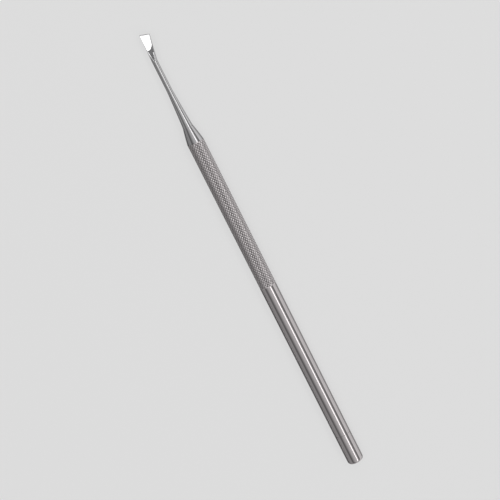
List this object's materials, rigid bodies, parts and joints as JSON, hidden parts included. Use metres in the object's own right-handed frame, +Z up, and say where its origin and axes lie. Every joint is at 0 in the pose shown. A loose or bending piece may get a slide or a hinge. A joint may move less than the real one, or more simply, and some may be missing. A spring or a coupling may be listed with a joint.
{
  "type": "cuticle pusher",
  "caption": "Slim steel cuticle pusher: hollow round handle, diamond-knurled at the front, conical nose, tapered round shank and a small slanted flat blade.",
  "frame": {"origin": "on the surface that the handle lies on, under the middle of the tool's length and on its axis", "axes": "+X along the tool towards the blade's edge, +Z up, square to the blade's broad faces"},
  "size_m": [0.1404, 0.005, 0.005],
  "materials": {
    "handle_steel": "satin-polished tube, knurled at the front",
    "polished_steel": "polished",
    "blade_steel": "bright polished, ground faces"
  },
  "bodies": {
    "root": {"handle_tube": "handle_steel", "nose_cone": "polished_steel", "end_plug": "polished_steel", "working_end": "blade_steel"}
  },
  "joints": []
}
